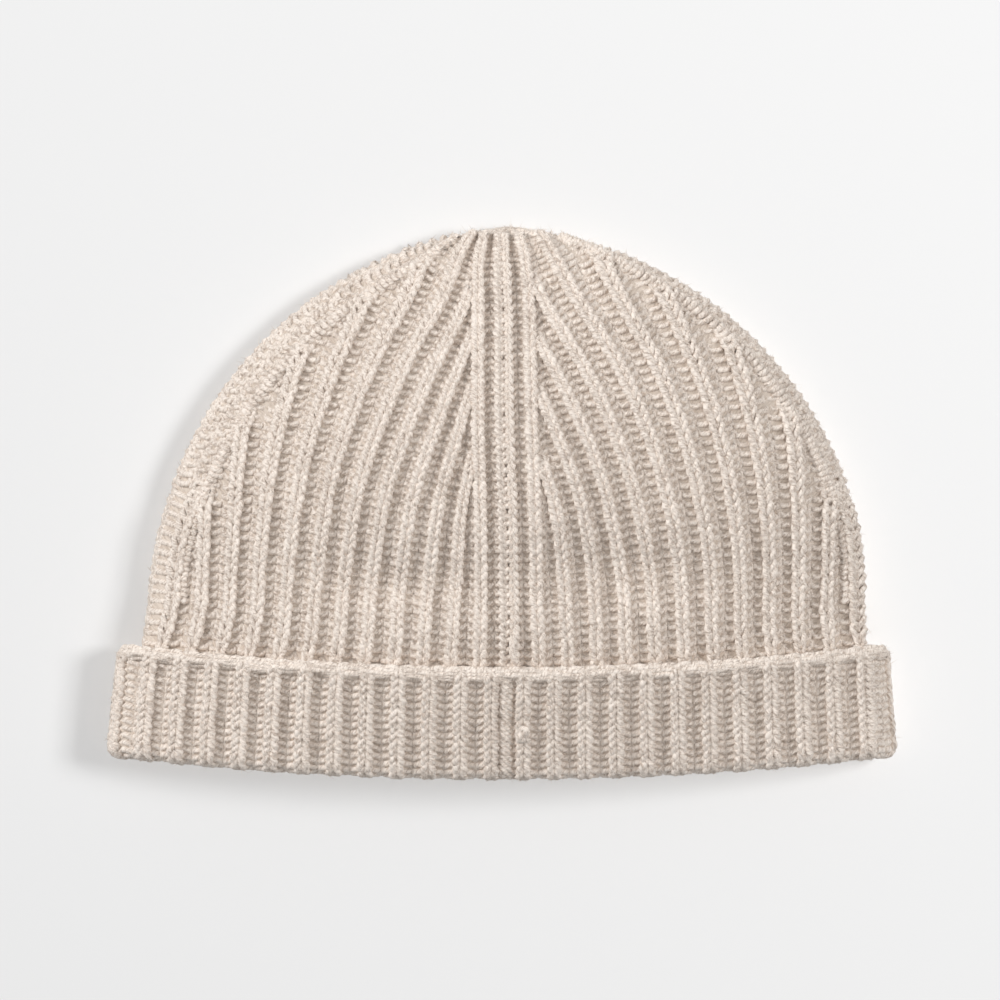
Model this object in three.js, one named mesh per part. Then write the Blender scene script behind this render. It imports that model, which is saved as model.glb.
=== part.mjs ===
// A baby's ribbed knit beanie with a turned-up cuff, lying flat on its front with the sewn back up.
// Millimetres. +X is to the right and +Y towards the tip, as seen from above; +Z is up from the table.
// The knitted wall is worked out from its middle surface: a rib number says how far round the hat a
// point lies, and a course number says how many rows of knitting it lies above the edge of the cuff.

import * as THREE from "three";

// Knitted wall
const RIBS = 50;
const LINES_PER_RIB = 4;
const RIB_HEIGHT = 1.6;
const VALLEY_HEIGHT = 0.5;
const SEAM_GROOVE = 0.5;

// Outline of the crown's middle surface, seen from above: a flared tube below, a rounded dome above
const BRIM_Y = -66.9;
const DOME_START_Y = -23.75;
const DOME_HALF_WIDTH = 86.6;
const DOME_LENGTH = 89.0;
const DOME_POWER = 1.9;
const BRIM_FLARE = 4.1;
const BRIM_MIDDLE_X = -0.5;
const LEAN = 1.9;
const LEAN_START_Y = -55;
const LEAN_END_Y = 10;
const ON_OUTLINE = 0.03;

// Heights of the middle surface above the table
const REST_HEIGHT = 1.0;
const LAYER_STEP = 3.9;
const CUFF_TOP_Y = -35;
const SETTLED_Y = -14;
const CROWN_FOLD_RADIUS = 3.0;
const CUFF_FOLD_RADIUS = 2.2;
const CROWN_LOFT = 20.4;
const BRIM_LOFT = 8.5;
const LOFT_PEAK_Y = -6;
const LOFT_POWER = 0.9;
const BRIM_LOFT_POWER = 1.5;

// Cuff
const CUFF_HEIGHT = 26.7;
const CUFF_BOW = 4.2;
const CUFF_LEG_FOOT = 3.45;
const CUFF_INNER_LEG = 6.2;
const EDGE_ROUND = 0.9;
const LAYER_GAP = 0.3;
const BRIM_COURSE = -11.5;

// Rib numbers that divide the hat. Rib 0 is the back seam, counted up to the left and down to the right.
const SPINE_EDGE = 1.25;
const GORE_EDGE = 11.75;
const SIDE_STRIP = 1.5;
const LEFT_FOLD = 13;
const RIGHT_FOLD = 12.5;

// What the crown does at each course that matters. height: the centre back above the middle of the hat.
// run: how far the side fold has climbed along the outline. spine: half the width of the centre spine.
// seam: how far right of the middle the back seam lies. strip: width of the spine over the side fold.
// centre and side: the rib that has reached the centre spine, and the side spine, as ribs are decreased.
// left and right: how far the ribs of each half are drawn towards the centre spine.
const COURSES = [
  { course: -11.5, height: -60.6, run: 10.1, spine: 9.3, seam: 0.7, strip: 4.9,
    centre: 1.25, side: 11.75, left: 0, right: 0 },
  { course: 0, height: -37.1, run: 40.5, spine: 8.75, seam: 1.2, strip: 12.0,
    centre: 1.25, side: 11.75, left: 0, right: 0 },
  { course: 8, height: -20.4, run: 60.1, spine: 8.1, seam: 1.2, strip: 12.2,
    centre: 1.3, side: 11.5, left: 0.03, right: 0.03 },
  { course: 17.5, height: -0.2, run: 84.1, spine: 7.9, seam: 0.9, strip: 12.2,
    centre: 1.5, side: 10.5, left: 0.2, right: 0.22 },
  { course: 26.5, height: 18.9, run: 108.5, spine: 8.0, seam: 0.2, strip: 11.5,
    centre: 2.5, side: 9.5, left: 0.34, right: 0.27 },
  { course: 34, height: 33.4, run: 131.1, spine: 7.8, seam: 0, strip: 10.4,
    centre: 3.5, side: 8.5, left: 0.39, right: 0.32 },
  { course: 40.5, height: 46.0, run: 149.6, spine: 7.6, seam: -0.1, strip: 8.3,
    centre: 4.5, side: 7.5, left: 0.5, right: 0.42 },
  { course: 46, height: 57.0, run: 161.6, spine: 7.0, seam: -0.5, strip: 4.6,
    centre: 5.5, side: 6.5, left: 0.4, right: 0.4 },
  { course: 52, height: 65.4, run: 170.1, spine: 5.6, seam: -0.6, strip: 0,
    centre: 5.99, side: 6.01, left: 0, right: 0 },
];
const SHOWN_COURSES = [-11.5, -5, 1.5, 8, 12.5, 17.5, 22, 26.5, 30, 34, 37, 40.5, 43, 46, 48.5, 50.5, 52];
const HIDDEN_COURSES = [-11.5, 1.5, 8, 17.5, 26.5, 34, 40.5, 46, 52];
const SEAM_FADE_START = 46;
const TIP_COURSE = 52;

// Shallow dents in the upper face. long and wide are their reach along and across the turned axis.
const DENTS = [
  { x: -11, y: -3, depth: 2.2, long: 20, wide: 9, turn: 10 },
  { x: 25, y: -6, depth: 2.0, long: 22, wide: 10, turn: -8 },
  { x: -36, y: -14, depth: 1.8, long: 20, wide: 12, turn: 5 },
  { x: -36, y: 38, depth: 1.6, long: 22, wide: 9, turn: 48 },
  { x: 47, y: 33, depth: 1.4, long: 18, wide: 9, turn: -42 },
  { x: -22, y: -20.5, depth: 2.3, long: 8, wide: 26, turn: 0 },
  { x: 31, y: -17, depth: 2.2, long: 9, wide: 20, turn: 8 },
];
const DENT_FADE = 8;

// Seams
const SEAM_HALF_WIDTH = 1.4;
const SEAM_INNER_TOP = 1.5;
const SEAM_INNER_BOTTOM = 3.1;
const SEAM_INNER_END = 45;
const CUFF_SEAM_BOTTOM = 1.3;
const CUFF_SEAM_TOP = 2.1;
const CUFF_SEAM_START = 4.5;
const CUFF_SEAM_END = 25.4;

const WOOL = { color: 0xd3c8bb, roughness: 0.95, metalness: 0 };
const SEAM_WOOL = { color: 0xcabeb0, roughness: 0.95, metalness: 0 };

const clamp = (value, low, high) => Math.min(Math.max(value, low), high);

function ease(from, to, value) {
  const t = clamp((value - from) / (to - from), 0, 1);
  return t * t * (3 - 2 * t);
}

// One column of the course table, read on a smooth curve through its rows
function atCourse(column, course) {
  let i = 1;
  while (i < COURSES.length - 1 && COURSES[i].course < course) i += 1;
  const low = COURSES[i - 1];
  const high = COURSES[i];
  const before = COURSES[Math.max(i - 2, 0)];
  const after = COURSES[Math.min(i + 1, COURSES.length - 1)];
  const span = high.course - low.course;
  const t = clamp((course - low.course) / span, 0, 1);
  const slopeIn = span * (high[column] - before[column]) / (high.course - before.course);
  const slopeOut = span * (after[column] - low[column]) / (after.course - low.course);
  const rise = high[column] - low[column];
  return low[column] + t * slopeIn
    + t * t * (3 * rise - 2 * slopeIn - slopeOut)
    + t * t * t * (slopeIn + slopeOut - 2 * rise);
}

// Half the width of the crown's middle surface, seen from above
function halfWidth(y) {
  if (y < DOME_START_Y) {
    const down = clamp((DOME_START_Y - y) / (DOME_START_Y - BRIM_Y), 0, 1);
    return DOME_HALF_WIDTH + BRIM_FLARE * down;
  }
  const up = clamp((y - DOME_START_Y) / DOME_LENGTH, 0, 1);
  return DOME_HALF_WIDTH * (1 - up ** DOME_POWER) ** (1 / DOME_POWER);
}

// The dome leans a little to the right of the brim
function middleX(y) {
  return BRIM_MIDDLE_X + LEAN * ease(LEAN_START_Y, LEAN_END_Y, y);
}

// Outward direction, seen from above, and distance in from the outline
function outlineAt(x, y) {
  const across = x - middleX(y);
  const sign = across < 0 ? -1 : 1;
  const snapped = (inside) => (inside < ON_OUTLINE ? 0 : inside);
  if (y < DOME_START_Y) {
    return { outX: sign, outY: 0, inside: snapped(halfWidth(y) - Math.abs(across)) };
  }
  const u = Math.abs(across) / DOME_HALF_WIDTH;
  const v = (y - DOME_START_Y) / DOME_LENGTH;
  const level = 1 - u ** DOME_POWER - v ** DOME_POWER;
  const slopeX = DOME_POWER * u ** (DOME_POWER - 1) / DOME_HALF_WIDTH;
  const slopeY = DOME_POWER * v ** (DOME_POWER - 1) / DOME_LENGTH;
  const slope = Math.hypot(slopeX, slopeY) + 1e-6;
  return { outX: sign * slopeX / slope, outY: slopeY / slope, inside: snapped(level / slope) };
}

// The outline walked from the brim to the tip, so that a point can be found by how far it has climbed
const OUTLINE_STEPS = 400;
const outlineWalk = [];
for (let i = 0; i <= OUTLINE_STEPS; i += 1) {
  const tubeSteps = OUTLINE_STEPS / 4;
  let y = BRIM_Y + (DOME_START_Y - BRIM_Y) * Math.min(i / tubeSteps, 1);
  let half = halfWidth(y);
  if (i > tubeSteps) {
    const angle = (Math.PI / 2) * (i - tubeSteps) / (OUTLINE_STEPS - tubeSteps);
    half = DOME_HALF_WIDTH * Math.max(Math.cos(angle), 0) ** (2 / DOME_POWER);
    y = DOME_START_Y + DOME_LENGTH * Math.sin(angle) ** (2 / DOME_POWER);
  }
  const last = outlineWalk[i - 1];
  const run = last ? last.run + Math.hypot(half - last.half, y - last.y) : 0;
  outlineWalk.push({ half, y, run });
}

function foldPoint(run, sign) {
  let i = 1;
  while (i < OUTLINE_STEPS && outlineWalk[i].run < run) i += 1;
  const low = outlineWalk[i - 1];
  const high = outlineWalk[i];
  const t = clamp((run - low.run) / (high.run - low.run), 0, 1);
  const y = low.y + t * (high.y - low.y);
  return { x: middleX(y) + sign * (low.half + t * (high.half - low.half)), y };
}

// Radius of the side fold: tighter where the cuff holds it
function foldRadius(y) {
  return CUFF_FOLD_RADIUS + (CROWN_FOLD_RADIUS - CUFF_FOLD_RADIUS) * ease(CUFF_TOP_Y, SETTLED_Y, y);
}

// Distance in from the outline, seen from above, after going this far round the side fold
function insetAfter(arc, radius) {
  const quarter = radius * Math.PI / 2;
  return arc < quarter ? radius * (1 - Math.cos(arc / radius)) : radius + arc - quarter;
}

// Where a rib of the band round the brim lies, seen from above, this far up from the bowed brim line
function bandPoint(rib, rise) {
  const foot = planPoint(rib, BRIM_COURSE);
  const u = clamp((foot.x - middleX(foot.y)) / halfWidth(foot.y), -1, 1);
  const y = BRIM_Y + CUFF_BOW * u * u + rise;
  return { x: middleX(y) + u * halfWidth(y), y, onTop: foot.onTop, rib: foot.rib };
}

// Where a rib crosses a course, seen from above
function planPoint(rib, course) {
  const turn = rib > RIBS / 2 ? rib - RIBS : rib;
  const sign = turn >= 0 ? -1 : 1;
  const fold = sign < 0 ? LEFT_FOLD : RIGHT_FOLD;
  const across = Math.abs(turn);
  const onTop = across <= fold;
  const own = onTop ? across : RIBS / 2 - across;
  const seamX = atCourse("seam", course);
  const spineY = atCourse("height", course);
  const spine = atCourse("spine", course);
  if (own < SPINE_EDGE) {
    return { x: seamX + sign * spine * own / SPINE_EDGE, y: spineY, onTop, rib: own };
  }
  const strip = Math.max(atCourse("strip", course), 0);
  const edge = foldPoint(atCourse("run", course), sign);
  const { outX, outY } = outlineAt(edge.x, edge.y);
  const radius = foldRadius(edge.y);
  const foldOwn = onTop ? fold : RIBS / 2 - fold;
  const inset = insetAfter(strip * Math.max(foldOwn - Math.max(own, GORE_EDGE), 0) / SIDE_STRIP, radius);
  const sideX = edge.x - outX * inset;
  const sideY = edge.y - outY * inset;
  if (own > GORE_EDGE) return { x: sideX, y: sideY, onTop, rib: own };
  const centre = atCourse("centre", course);
  const side = atCourse("side", course);
  const live = clamp(own, centre, side);
  const spread = (live - centre) / (side - centre);
  const t = spread - atCourse(sign < 0 ? "left" : "right", course) * spread * (1 - spread);
  const spineX = seamX + sign * spine;
  return { x: spineX + (sideX - spineX) * t, y: spineY + (sideY - spineY) * t, onTop, rib: live };
}

// How far the upper face is puffed up over its side folds
function loft(x, y) {
  const { inside } = outlineAt(x, y);
  const half = halfWidth(y);
  const u = half > 1 ? clamp(Math.abs(x - middleX(y)) / half, 0, 1) : 1;
  let centre = CROWN_LOFT;
  if (y > LOFT_PEAK_Y) {
    const up = (y - LOFT_PEAK_Y) / (DOME_START_Y + DOME_LENGTH - LOFT_PEAK_Y);
    centre *= Math.max(1 - up * up, 0) ** LOFT_POWER;
  } else {
    const down = clamp((LOFT_PEAK_Y - y) / (LOFT_PEAK_Y - BRIM_Y), 0, 1);
    centre -= (CROWN_LOFT - BRIM_LOFT) * down ** BRIM_LOFT_POWER;
  }
  let height = centre * Math.max(1 - u * u, 0) ** LOFT_POWER;
  for (const dent of DENTS) {
    const angle = THREE.MathUtils.degToRad(dent.turn);
    const along = (x - dent.x) * Math.sin(angle) + (y - dent.y) * Math.cos(angle);
    const aside = (x - dent.x) * Math.cos(angle) - (y - dent.y) * Math.sin(angle);
    const reach = (along / dent.long) ** 2 + (aside / dent.wide) ** 2;
    height -= dent.depth * Math.exp(-reach) * inside / (inside + DENT_FADE);
  }
  return Math.max(height, 0);
}

const SLOPE_STEP = 0.4;

// The middle surface of the wall over a point, and its outward normal
function wallPoint(x, y, onTop) {
  const { outX, outY, inside } = outlineAt(x, y);
  const radius = foldRadius(y);
  const settled = ease(CUFF_TOP_Y, SETTLED_Y, y);
  const floorHeight = REST_HEIGHT + LAYER_STEP * (1 - settled);
  const foldHeight = floorHeight + radius;
  const cos = 1 - Math.min(inside / radius, 1);
  const sin = Math.sqrt(1 - cos * cos);
  if (!onTop) {
    return {
      point: new THREE.Vector3(x, y, foldHeight - radius * sin),
      normal: new THREE.Vector3(outX * cos, outY * cos, -sin).normalize(),
    };
  }
  const slopeX = (loft(x + SLOPE_STEP, y) - loft(x - SLOPE_STEP, y)) / (2 * SLOPE_STEP);
  const slopeY = (loft(x, y + SLOPE_STEP) - loft(x, y - SLOPE_STEP)) / (2 * SLOPE_STEP);
  return {
    point: new THREE.Vector3(x, y, foldHeight + radius * sin + loft(x, y)),
    normal: new THREE.Vector3(outX * cos - slopeX * sin, outY * cos - slopeY * sin, sin).normalize(),
  };
}

// Height of the ribs over the middle of the wall, high at whole numbers
function ribHeight(rib) {
  return VALLEY_HEIGHT + (RIB_HEIGHT - VALLEY_HEIGHT) * (1 + Math.cos(2 * Math.PI * rib)) / 2;
}

const HALF_RIB = 0.5;

// The crown's lowest row of corners follows the cuff's inner leg, a gap above it
function crownPlan(rib, course) {
  return course > BRIM_COURSE ? planPoint(rib, course) : bandPoint(rib, CUFF_INNER_LEG + LAYER_GAP);
}

function outerPoint(rib, course) {
  const plan = crownPlan(rib, course);
  const { point, normal } = wallPoint(plan.x, plan.y, plan.onTop);
  const groove = rib === 0 ? SEAM_GROOVE * (1 - ease(SEAM_FADE_START, TIP_COURSE, course)) : 0;
  point.addScaledVector(normal, ribHeight(plan.rib) - groove);
  point.z = Math.max(point.z, 0);
  return point;
}

function innerPoint(rib, course) {
  const plan = crownPlan(rib, course);
  const { point, normal } = wallPoint(plan.x, plan.y, plan.onTop);
  return point.addScaledVector(normal, -ribHeight(plan.rib + HALF_RIB));
}

// Ribs' mesh lines round the hat, and the coarser set for faces that no one sees from outside
const ALL_LINES = Array.from({ length: RIBS * LINES_PER_RIB }, (_, i) => i / LINES_PER_RIB);
const HIDDEN_LINES = ALL_LINES.filter((rib) => {
  const across = Math.min(rib, RIBS - rib);
  return (rib * 2) % 1 === 0 || (across >= GORE_EDGE && across <= GORE_EDGE + SIDE_STRIP);
});

// A closed shell gathered face by face; corners that share a place are one corner
class Shell {
  constructor() {
    this.corners = [];
    this.places = new Map();
    this.faces = [];
  }

  corner(point) {
    const key = [point.x, point.y, point.z].map((value) => Math.round(value * 1000)).join(",");
    if (!this.places.has(key)) {
      this.places.set(key, this.corners.length);
      this.corners.push(point);
    }
    return this.places.get(key);
  }

  triangle(a, b, c) {
    if (a !== b && b !== c && c !== a) this.faces.push(a, b, c);
  }

  // The band between two rings of corners, facing out when the second ring follows the first on the left
  band(ring, next) {
    for (let i = 0; i < ring.length; i += 1) {
      const j = (i + 1) % ring.length;
      this.triangle(ring[i], ring[j], next[j]);
      this.triangle(ring[i], next[j], next[i]);
    }
  }

  // Joins a full ring to a coarser one whose lines are all among the full ring's
  join(full, fullLines, coarse, coarseLines, flip) {
    for (let i = 0; i < coarseLines.length; i += 1) {
      const next = (i + 1) % coarseLines.length;
      let k = fullLines.indexOf(coarseLines[i]);
      while (fullLines[k] !== coarseLines[next]) {
        const after = (k + 1) % fullLines.length;
        if (flip) this.triangle(coarse[i], full[after], full[k]);
        else this.triangle(coarse[i], full[k], full[after]);
        k = after;
      }
      if (flip) this.triangle(coarse[i], coarse[next], full[k]);
      else this.triangle(coarse[i], full[k], coarse[next]);
    }
  }

  mesh(name, look) {
    const geometry = new THREE.BufferGeometry();
    const positions = this.corners.flatMap((corner) => corner.toArray());
    geometry.setAttribute("position", new THREE.Float32BufferAttribute(positions, 3));
    geometry.setIndex(this.faces);
    geometry.computeVertexNormals();
    const mesh = new THREE.Mesh(geometry, new THREE.MeshStandardMaterial(look));
    mesh.name = name;
    return mesh;
  }
}

// Crown: one knitted wall, from just above the brim's fold up to the closed tip
function makeCrown() {
  const shell = new Shell();
  const outer = SHOWN_COURSES.map((course) => ALL_LINES.map((rib) => shell.corner(outerPoint(rib, course))));
  const inner = HIDDEN_COURSES.map((course) => HIDDEN_LINES.map((rib) => shell.corner(innerPoint(rib, course))));
  for (let i = 1; i < outer.length; i += 1) shell.band(outer[i], outer[i - 1]);
  for (let i = 1; i < inner.length; i += 1) shell.band(inner[i - 1], inner[i]);
  shell.join(outer[0], ALL_LINES, inner[0], HIDDEN_LINES, false);
  return shell.mesh("crown", WOOL);
}

// A place on the cuff: rib says how far round, rise how far above the brim, step how far out from the
// crown's middle surface. Every place of a rib is carried along the same normal.
function cuffPlace(rib, rise, step) {
  const plan = bandPoint(rib, rise);
  const { point, normal } = wallPoint(plan.x, plan.y, plan.onTop);
  return { point: point.addScaledVector(normal, step), normal };
}

// The cuff's middle line, from the end of its short inner leg, round the brim, up to the free edge.
// rise and step are as above; out and down are the direction in which its shown side faces.
function cuffSection() {
  const section = [];
  const half = LAYER_STEP / 2;
  for (const rise of [CUFF_INNER_LEG, CUFF_LEG_FOOT]) section.push({ rise, step: 0, out: -1, down: 0 });
  for (const degrees of [45, 90, 135]) {
    const angle = THREE.MathUtils.degToRad(degrees);
    const out = -Math.cos(angle);
    const down = Math.sin(angle);
    section.push({ rise: CUFF_LEG_FOOT - half * down, step: half + half * out, out, down });
  }
  for (const rise of [CUFF_LEG_FOOT, CUFF_HEIGHT * 0.5, CUFF_HEIGHT - EDGE_ROUND]) {
    section.push({ rise, step: LAYER_STEP, out: 1, down: 0 });
  }
  return section;
}

// Cuff: shown side with every line of the ribs, hidden side coarser, rounded over at the free edge
function makeCuff() {
  const shell = new Shell();
  const section = cuffSection();
  const place = (rib, at, height) => {
    const { point, normal } = cuffPlace(rib, at.rise - at.down * height, at.step + at.out * height);
    point.z = Math.max(point.z, 0);
    return shell.corner(point);
  };
  const shown = section.map((at) => ALL_LINES.map((rib) => place(rib, at, ribHeight(rib + HALF_RIB))));
  const hidden = section.map((at) => HIDDEN_LINES.map((rib) => place(rib, at, -ribHeight(rib))));
  const edge = { rise: CUFF_HEIGHT, step: LAYER_STEP, out: 1, down: 0 };
  const rolled = ALL_LINES.map((rib) => place(rib, edge, ribHeight(rib + HALF_RIB) - EDGE_ROUND));
  for (let i = 1; i < section.length; i += 1) {
    shell.band(shown[i], shown[i - 1]);
    shell.band(hidden[i - 1], hidden[i]);
  }
  const last = section.length - 1;
  shell.band(rolled, shown[last]);
  shell.join(rolled, ALL_LINES, hidden[last], HIDDEN_LINES, true);
  shell.join(shown[0], ALL_LINES, hidden[0], HIDDEN_LINES, false);
  return shell.mesh("cuff", WOOL);
}

// A flat bar swept along a seam: each station gives its two upper and two lower corners
function makeBar(name, stations) {
  const shell = new Shell();
  const rings = stations.map((corners) => corners.map((corner) => shell.corner(corner)));
  for (let i = 1; i < rings.length; i += 1) shell.band(rings[i], rings[i - 1]);
  const first = rings[0];
  const last = rings[rings.length - 1];
  shell.triangle(first[0], first[1], first[2]);
  shell.triangle(first[0], first[2], first[3]);
  shell.triangle(last[0], last[2], last[1]);
  shell.triangle(last[0], last[3], last[2]);
  return shell.mesh(name, SEAM_WOOL);
}

function barCorners(point, normal, low, high) {
  const corner = (x, height) => point.clone().addScaledVector(normal, height).add(new THREE.Vector3(x, 0, 0));
  return [
    corner(-SEAM_HALF_WIDTH, low),
    corner(SEAM_HALF_WIDTH, low),
    corner(SEAM_HALF_WIDTH, high),
    corner(-SEAM_HALF_WIDTH, high),
  ];
}

// Seam allowance inside the crown, along the centre back
function makeBackSeam() {
  const stations = HIDDEN_COURSES.filter((course) => course <= SEAM_INNER_END).map((course) => {
    const plan = crownPlan(0, course);
    const { point, normal } = wallPoint(plan.x, plan.y, true);
    return barCorners(point, normal, -SEAM_INNER_BOTTOM, -SEAM_INNER_TOP);
  });
  return makeBar("back_seam", stations);
}

// The same seam on the turned-up cuff, where its allowance shows
function makeCuffSeam() {
  const stations = [CUFF_SEAM_START, CUFF_HEIGHT * 0.5, CUFF_SEAM_END].map((rise) => {
    const { point, normal } = cuffPlace(0, rise, LAYER_STEP);
    return barCorners(point, normal, CUFF_SEAM_BOTTOM, CUFF_SEAM_TOP);
  });
  return makeBar("cuff_seam", stations);
}

const beanie = new THREE.Group();
beanie.add(makeCrown(), makeCuff(), makeBackSeam(), makeCuffSeam());

export default beanie;
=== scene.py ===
import math

import bpy
import numpy as np
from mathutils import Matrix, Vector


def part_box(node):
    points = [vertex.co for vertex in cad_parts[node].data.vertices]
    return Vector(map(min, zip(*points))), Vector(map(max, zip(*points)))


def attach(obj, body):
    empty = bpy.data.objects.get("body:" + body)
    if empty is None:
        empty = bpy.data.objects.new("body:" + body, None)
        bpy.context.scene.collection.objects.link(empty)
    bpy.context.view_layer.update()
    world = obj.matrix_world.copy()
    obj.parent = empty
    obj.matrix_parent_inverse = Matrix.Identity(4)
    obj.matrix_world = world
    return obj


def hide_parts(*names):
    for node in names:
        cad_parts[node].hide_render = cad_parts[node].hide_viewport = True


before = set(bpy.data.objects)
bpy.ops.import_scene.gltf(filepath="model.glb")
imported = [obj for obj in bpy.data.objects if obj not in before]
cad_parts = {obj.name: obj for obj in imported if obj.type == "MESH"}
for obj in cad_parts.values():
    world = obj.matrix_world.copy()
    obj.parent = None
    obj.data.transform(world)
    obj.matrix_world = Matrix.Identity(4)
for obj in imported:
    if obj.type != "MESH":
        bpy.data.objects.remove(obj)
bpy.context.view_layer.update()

bpy.ops.object.select_all(action="DESELECT")


# Floor: a pale matt studio table under the hat, with the light room around it.
# It is a large flat plane, and its edges lie outside the picture.
FLOOR_SIZE = 6.0
FLOOR_TONE = (0.80, 0.80, 0.80, 1.0)
FLOOR_ROUGHNESS, FLOOR_SHINE = 0.9, 0.1

bpy.ops.mesh.primitive_plane_add(size=FLOOR_SIZE)
studio_floor = bpy.context.active_object
studio_floor.name = "studio_floor"
floor_paint = bpy.data.materials.new("studio_floor_paint")
floor_paint.use_nodes = True
floor_shader = floor_paint.node_tree.nodes["Principled BSDF"]
floor_shader.inputs["Base Color"].default_value = FLOOR_TONE
floor_shader.inputs["Roughness"].default_value = FLOOR_ROUGHNESS
floor_shader.inputs["Specular IOR Level"].default_value = FLOOR_SHINE
studio_floor.data.materials.append(floor_paint)


# Camera: straight above the hat on a long lens, as the photograph was taken.
# The view takes in 242 mm of table, and the hat's middle lies 4 pixels right and 2 below the centre.
VIEW_WIDTH = 0.24235
CAMERA_HEIGHT = 3.0
CAMERA_PLACE = (-0.00097, 0.00048, CAMERA_HEIGHT)
CAMERA_REACH = 20.0
SENSOR_WIDTH = 36.0

camera_data = bpy.data.cameras.new("camera_above")
camera_data.sensor_width = SENSOR_WIDTH
camera_data.lens = SENSOR_WIDTH * CAMERA_HEIGHT / VIEW_WIDTH
camera_data.clip_end = CAMERA_REACH
camera_above = bpy.data.objects.new("camera_above", camera_data)
camera_above.location = CAMERA_PLACE
bpy.context.collection.objects.link(camera_above)
bpy.context.scene.camera = camera_above
bpy.context.scene.view_settings.view_transform = "Standard"


# Studio light: a soft lamp at the upper left models the ribs, one at the right fills their right sides,
# and a wide one overhead leaves the valleys darker. Two more light only the table, so the hat's weak
# shadow falls to its left.
HAT_LAMPS = [
    {"name": "key_lamp", "at": (-1.2, 0.75, 0.95), "size": 0.7, "power": 21.5},
    {"name": "side_lamp", "at": (1.25, 0.35, 0.95), "size": 0.8, "power": 11.0},
    {"name": "roof_lamp", "at": (0.1, 0.0, 1.9), "size": 1.6, "power": 7.5},
]
TABLE_LAMPS = [
    {"name": "table_roof_lamp", "at": (-0.45, 0.8, 1.9), "size": 1.4, "power": 28.5},
    {"name": "table_side_lamp", "at": (1.1, 0.2, 1.2), "size": 0.5, "power": 13.0},
]
ROOM_TONE = (1.0, 1.0, 1.0, 1.0)
ROOM_STRENGTH = 0.24


def studio_lamp(lamp):
    lamp_data = bpy.data.lights.new(lamp["name"], "AREA")
    lamp_data.energy = lamp["power"]
    lamp_data.size = lamp["size"]
    lamp_object = bpy.data.objects.new(lamp["name"], lamp_data)
    lamp_object.location = lamp["at"]
    lamp_object.rotation_euler = (-lamp_object.location).to_track_quat("-Z", "Y").to_euler()
    bpy.context.collection.objects.link(lamp_object)
    return lamp_object


hat_only = bpy.data.collections.new("lit_hat")
table_only = bpy.data.collections.new("lit_table")
table_only.objects.link(studio_floor)
for lamps, receivers in ((HAT_LAMPS, hat_only), (TABLE_LAMPS, table_only)):
    for lamp in lamps:
        studio_lamp(lamp).light_linking.receiver_collection = receivers
bpy.data.objects["table_roof_lamp"].light_linking.blocker_collection = table_only

room = bpy.data.worlds.new("studio_room")
room.use_nodes = True
room.node_tree.nodes["Background"].inputs["Color"].default_value = ROOM_TONE
room.node_tree.nodes["Background"].inputs["Strength"].default_value = ROOM_STRENGTH
bpy.context.scene.world = room


# Wool: soft two-ply yarn in warm cream, slightly uneven, with loose fibres along the strand.
# Every piece of the hat is knitted or sewn from it. U of the UV map runs along the strand in
# millimetres and V once round it, so the plies and fibres follow the yarn.
WOOL_LIGHT = (0.93, 0.84, 0.76, 1.0)
WOOL_DARK = (0.54, 0.445, 0.375, 1.0)
PLY_LENGTH = 2.6
FIBRES_ROUND, FIBRE_STRETCH = 3.2, 0.5
FIBRE_SCALE, FIBRE_DETAIL, FIBRE_HARSHNESS = 1.6, 3.0, 0.65
HEATHER_SCALE, HEATHER_DETAIL = 240.0, 2.0
PLY_GROOVE_SHADE, FIBRE_TONE, HEATHER_TONE, TONE_DROP = 0.15, 4.8, 0.8, 2.2
PLY_RELIEF, FIBRE_RELIEF = 0.25, 1.2


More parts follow.
